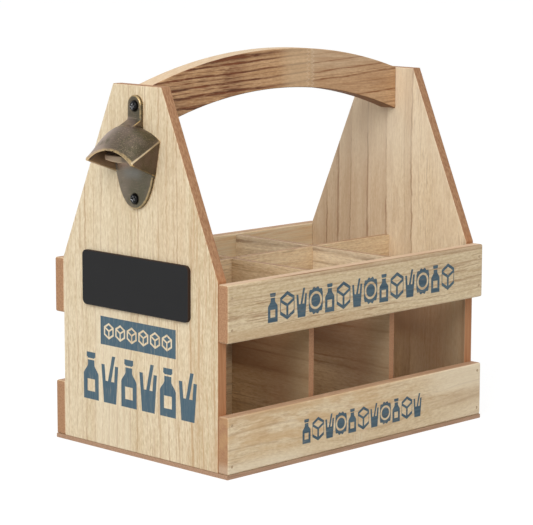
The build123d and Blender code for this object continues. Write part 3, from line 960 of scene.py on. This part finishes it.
socket("Screw", "Geometry")
first_hole = socket("First hole", "Vector")
next_hole = socket("To the next hole", "Vector")
holes = socket("Holes", "Int")
finish = socket("Finish", "Material")
socket("Screws", "Geometry", side="OUTPUT")
given = setting.nodes.new("NodeGroupInput")
line = setting.nodes.new("GeometryNodeMeshLine")
line.mode = "OFFSET"
place = setting.nodes.new("GeometryNodeInstanceOnPoints")
real = setting.nodes.new("GeometryNodeRealizeInstances")
finishing = setting.nodes.new("GeometryNodeSetMaterial")
made = setting.nodes.new("NodeGroupOutput")
for source, target in (
    (given.outputs["Holes"], line.inputs["Count"]),
    (given.outputs["First hole"], line.inputs["Start Location"]),
    (given.outputs["To the next hole"], line.inputs["Offset"]),
    (line.outputs["Mesh"], place.inputs["Points"]),
    (given.outputs["Screw"], place.inputs["Instance"]),
    (place.outputs["Instances"], real.inputs["Geometry"]),
    (real.outputs["Geometry"], finishing.inputs["Geometry"]),
    (given.outputs["Finish"], finishing.inputs["Material"]),
    (finishing.outputs["Geometry"], made.inputs["Screws"]),
):
    setting.links.new(source, target)
spread = screws.modifiers.new("both holes", "NODES")
spread.node_group = setting
spread[first_hole.identifier] = (seat_x, upper_middle.y, upper_middle.z)
spread[next_hole.identifier] = (0.0, 0.0, lower_middle.z - upper_middle.z)
spread[holes.identifier] = SCREW_COUNT
spread[finish.identifier] = black_finish
settled(screws)
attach(screws, "root")
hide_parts("opener_screw_upper", "opener_screw_lower")


# Studio: a plain pale floor under a soft sky, brighter above, with one soft lamp to the left.
# The camera stands at the photograph's place and sees the floor and the sky as white.
WHITE = (1.0, 1.0, 1.0, 1.0)
FLOOR_REACH = 6.0
FLOOR_DROP = 0.0002
FLOOR_GREY = (0.62, 0.62, 0.62, 1.0)
GLOW_STRENGTH = 1.32
GLOW_SHARE = 0.64
SKY_LOW = 0.38
SKY_RISE = 0.5
LAMP_WATTS = 22.5
LAMP_SIZE = 1.1
LAMP_PLACE = Vector((-1.6, -0.75, 1.3))
LAMP_AIM = Vector((0.0, 0.0, 0.12))

floor_mesh = bpy.data.meshes.new("studio_floor")
corners = [
    (x * FLOOR_REACH, y * FLOOR_REACH, -FLOOR_DROP) for x, y in ((-1, -1), (1, -1), (1, 1), (-1, 1))
]
floor_mesh.from_pydata(corners, [], [(0, 1, 2, 3)])
floor = new_piece("studio_floor", floor_mesh)
ground = Paint("studio floor")


def seen_directly(paint):
    """1 for the rays that the camera, a mirror or a glass sees the backdrop by."""
    ray = paint.node("ShaderNodeLightPath", output="Is Camera Ray")
    return ray | ray.other("Is Glossy Ray") | ray.other("Is Transmission Ray")


matt = ground.node("ShaderNodeBsdfDiffuse", values={"Color": FLOOR_GREY})
glow = ground.node("ShaderNodeEmission", values={"Color": WHITE, "Strength": GLOW_STRENGTH})
glow_share = seen_directly(ground) * GLOW_SHARE
ground_shader = ground.node("ShaderNodeMixShader", values=[glow_share, matt, glow])
ground.node("ShaderNodeOutputMaterial", values={"Surface": ground_shader})
floor_mesh.materials.append(ground.material)


class Sky(Paint):
    """The world's own node tree, written with the same calls."""

    def __init__(self, name):
        self.world = bpy.data.worlds.new(name)
        self.world.use_nodes = True
        self.tree = self.world.node_tree
        self.tree.nodes.clear()


sky = Sky("studio sky")
sky_height = sky.parts(sky.node("ShaderNodeTexCoord", output="Generated"))[2]
sky_strength = (sky_height | 0.0) * SKY_RISE + SKY_LOW
soft = sky.node("ShaderNodeBackground", values={"Color": WHITE, "Strength": sky_strength})
white = sky.node("ShaderNodeBackground", values={"Color": WHITE, "Strength": 1.0})
sky_shader = sky.node("ShaderNodeMixShader", values=[seen_directly(sky), soft, white])
sky.node("ShaderNodeOutputWorld", values={"Surface": sky_shader})
bpy.context.scene.world = sky.world

lamp_light = bpy.data.lights.new("soft lamp", "AREA")
lamp_light.energy = LAMP_WATTS
lamp_light.size = LAMP_SIZE
lamp = bpy.data.objects.new("soft lamp", lamp_light)
bpy.context.scene.collection.objects.link(lamp)
lamp.location = LAMP_PLACE
lamp.rotation_euler = (LAMP_AIM - LAMP_PLACE).to_track_quat("-Z", "Y").to_euler()

# The camera's place in metres, its angles in degrees, and its focal length in picture points.
CAMERA_PLACE = Vector((-1.1831, -1.1578, 0.3893))
CAMERA_TURN, CAMERA_RISE, CAMERA_ROLL = (math.radians(a) for a in (-45.45, 9.08, 0.17))
FOCAL_PIXELS = 2263.6
PHOTO_WIDTH = 533
SENSOR = 36.0
CLIP_START = 0.01

back_way = Vector((
    math.sin(CAMERA_TURN) * math.cos(CAMERA_RISE),
    -math.cos(CAMERA_TURN) * math.cos(CAMERA_RISE),
    math.sin(CAMERA_RISE),
))
level_right = Vector((math.cos(CAMERA_TURN), math.sin(CAMERA_TURN), 0.0))
level_up = back_way.cross(level_right)
right_way = math.cos(CAMERA_ROLL) * level_right + math.sin(CAMERA_ROLL) * level_up
up_way = math.cos(CAMERA_ROLL) * level_up - math.sin(CAMERA_ROLL) * level_right
eye = bpy.data.cameras.new("photo camera")
eye.sensor_width = SENSOR
eye.lens = SENSOR * FOCAL_PIXELS / PHOTO_WIDTH
eye.clip_start = CLIP_START
camera = bpy.data.objects.new("photo camera", eye)
bpy.context.scene.collection.objects.link(camera)
turn = Matrix((right_way, up_way, back_way)).transposed().to_4x4()
camera.matrix_world = Matrix.Translation(CAMERA_PLACE) @ turn
bpy.context.scene.camera = camera
bpy.context.scene.view_settings.view_transform = "Standard"
